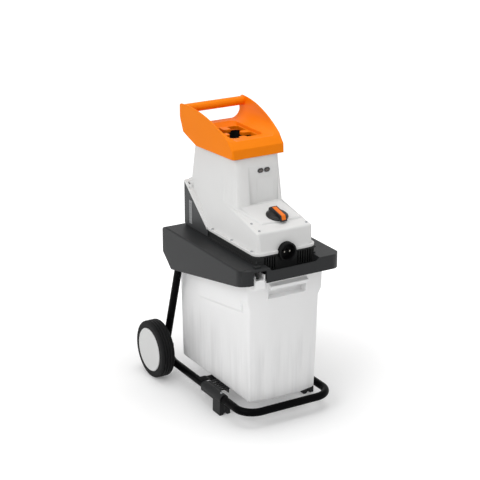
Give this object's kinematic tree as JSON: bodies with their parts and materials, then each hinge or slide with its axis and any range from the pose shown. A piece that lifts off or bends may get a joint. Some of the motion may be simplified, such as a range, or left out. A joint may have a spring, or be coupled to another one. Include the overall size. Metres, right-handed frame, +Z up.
{
  "type": "garden shredder",
  "caption": "Quiet roller garden shredder with a scoop hopper, drive housing, deck tray and slide-out collecting box on a wheeled tube frame.",
  "frame": {"origin": "on the floor under the middle of the bounding box", "axes": "+Z up, the front with the switch and power inlet faces -Y, the axle runs along X"},
  "size_m": [0.478, 0.642, 0.963],
  "materials": {
    "black_tube": "gloss black powder coat",
    "black_plastic": "fine grain",
    "dark_grey_plastic": "fine grain",
    "white_plastic": "smooth satin",
    "orange_plastic": "smooth satin",
    "milky_plastic": "milky and slightly clear",
    "pale_plastic": "smooth satin",
    "wheel_tyre": "matt with rings",
    "grey_plastic": "satin",
    "zinc_steel": "zinc plated",
    "tool_steel": "ground steel",
    "cast_aluminium": "as cast",
    "gear_plastic": "moulded",
    "brass": "bright",
    "lamp_plastic": "dark lens",
    "inner_plastic": "moulded"
  },
  "bodies": {
    "base": {"frame_hoop": "black_tube", "left_leg_tube": "black_tube", "right_leg_tube": "black_tube", "box_rest": "black_tube", "left_foot": "black_plastic", "right_foot": "black_plastic", "foot_screws": "zinc_steel", "left_axle": "zinc_steel", "right_axle": "zinc_steel", "axle_spacers": "black_plastic", "axle_caps": "zinc_steel", "deck": "dark_grey_plastic", "lower_housing": "black_plastic", "upper_shell": "white_plastic", "indicator_lamps": "lamp_plastic", "panel_label": "grey_plastic", "flange_screws": "zinc_steel", "hood_screws": "zinc_steel", "rear_housing": "dark_grey_plastic", "left_vent_grille": "grey_plastic", "right_vent_grille": "grey_plastic", "hopper": "orange_plastic", "handle_bar": "orange_plastic", "feed_guard": "orange_plastic", "feed_chute": "black_plastic", "power_inlet": "black_plastic", "inlet_pins": "brass", "switch_unit": "inner_plastic", "interlock_switch": "inner_plastic", "roller_bearings": "tool_steel", "cutter_frame": "cast_aluminium", "motor_can": "cast_aluminium", "capacitor": "grey_plastic", "gear_case": "cast_aluminium", "gear_cover": "cast_aluminium"},
    "left_wheel": {"left_tyre": "wheel_tyre", "left_rim": "pale_plastic", "left_hub_cap": "pale_plastic"},
    "right_wheel": {"right_tyre": "wheel_tyre", "right_rim": "pale_plastic", "right_hub_cap": "pale_plastic"},
    "collecting_box": {"collecting_box": "milky_plastic"},
    "box_latch": {"box_latch": "black_plastic"},
    "switch_knob": {"switch_knob": "black_plastic", "knob_insert": "orange_plastic"},
    "motor_rotor": {"rotor": "tool_steel", "motor_fan": "inner_plastic"},
    "first_gear": {"first_gear": "gear_plastic"},
    "second_gear": {"second_gear": "gear_plastic"},
    "cutter": {"cutting_roller": "tool_steel", "roller_shaft": "tool_steel", "output_gear": "tool_steel"},
    "adjuster": {"adjusting_screw": "zinc_steel", "adjusting_knob": "black_plastic"},
    "pressure_plate": {"pressure_plate": "cast_aluminium"}
  },
  "joints": [
    {"name": "left_wheel_spin", "type": "hinge", "parent": "base", "child": "left_wheel", "pos_m": [-0.21, 0.221, 0.1], "axis": [1, 0, 0], "continuous": true},
    {"name": "right_wheel_spin", "type": "hinge", "parent": "base", "child": "right_wheel", "pos_m": [0.21, 0.221, 0.1], "axis": [1, 0, 0], "continuous": true},
    {"name": "box_slide", "type": "slide", "parent": "base", "child": "collecting_box", "axis": [0, -1, 0], "range_m": [0, 0.46]},
    {"name": "latch_slide", "type": "slide", "parent": "base", "child": "box_latch", "axis": [0, 0, -1], "range_m": [0, 0.012]},
    {"name": "switch_turn", "type": "hinge", "parent": "base", "child": "switch_knob", "pos_m": [0.014, -0.199, 0.66638], "axis": [0, -0.2028, 0.9792], "range_deg": [-50, 50]},
    {"name": "motor_spin", "type": "hinge", "parent": "base", "child": "motor_rotor", "pos_m": [0.06, -0.155, 0.59], "axis": [1, 0, 0], "continuous": true},
    {"name": "first_gear_spin", "type": "hinge", "parent": "base", "child": "first_gear", "pos_m": [0.06, -0.10626, 0.59891], "axis": [1, 0, 0], "continuous": true},
    {"name": "second_gear_spin", "type": "hinge", "parent": "base", "child": "second_gear", "pos_m": [0.06, -0.04713, 0.58844], "axis": [1, 0, 0], "continuous": true},
    {"name": "roller_spin", "type": "hinge", "parent": "base", "child": "cutter", "pos_m": [0.06, 0.02, 0.622], "axis": [1, 0, 0], "continuous": true},
    {"name": "adjuster_turn", "type": "hinge", "parent": "base", "child": "adjuster", "pos_m": [-0.006, 0.19, 0.615], "axis": [0, 1, 0], "range_deg": [0, 720]},
    {"name": "plate_slide", "type": "slide", "parent": "base", "child": "pressure_plate", "axis": [0, -1, 0], "range_m": [0, 0.004]}
  ],
  "couplings": [
    {"joint": "first_gear_spin", "follows": "motor_spin", "ratio": -0.22222},
    {"joint": "second_gear_spin", "follows": "motor_spin", "ratio": 0.055556},
    {"joint": "roller_spin", "follows": "motor_spin", "ratio": -0.013889},
    {"joint": "adjuster_turn", "follows": "plate_slide", "rad_per_m": 3141.6}
  ]
}
